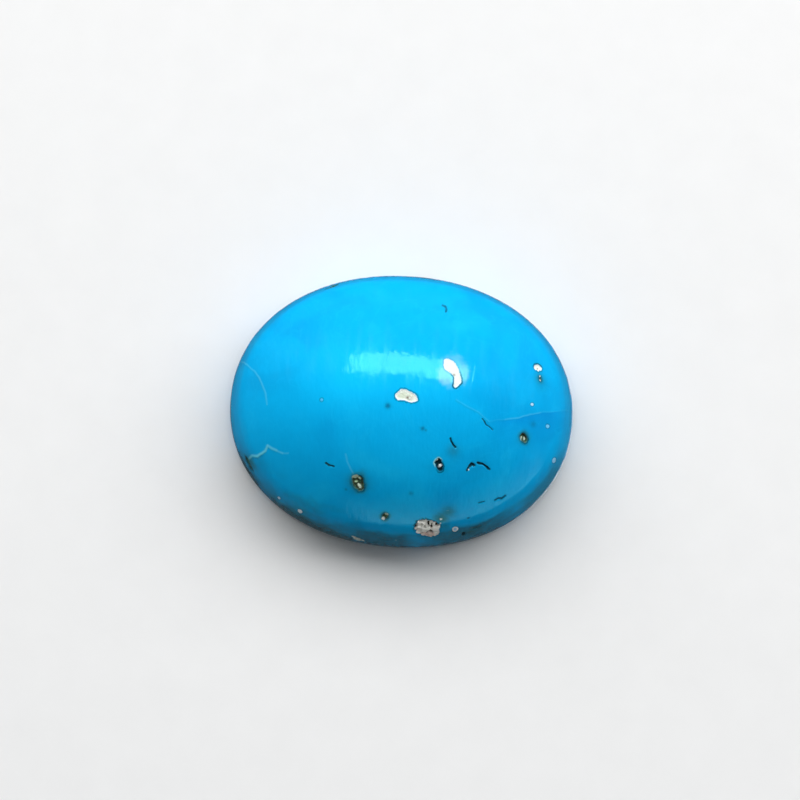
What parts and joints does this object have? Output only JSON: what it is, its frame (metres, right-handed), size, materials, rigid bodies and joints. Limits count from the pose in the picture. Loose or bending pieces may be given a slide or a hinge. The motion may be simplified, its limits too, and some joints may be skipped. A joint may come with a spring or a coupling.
{
  "type": "turquoise cabochon",
  "caption": "Oval polished turquoise stone with a high dome, steep side and flat back, marked by pale crystal patches, small dark pits and fine cracks.",
  "frame": {"origin": "centre of the flat back, on the plane the stone rests on", "axes": "+X along the long axis of the oval, +Y along its short axis, +Z from the flat back up through the dome"},
  "size_m": [0.0254, 0.0202, 0.009],
  "materials": {
    "turquoise": "high polish on the dome and side, fine ground finish on the flat back"
  },
  "bodies": {
    "root": {"turquoise_cabochon": "turquoise"}
  },
  "joints": []
}
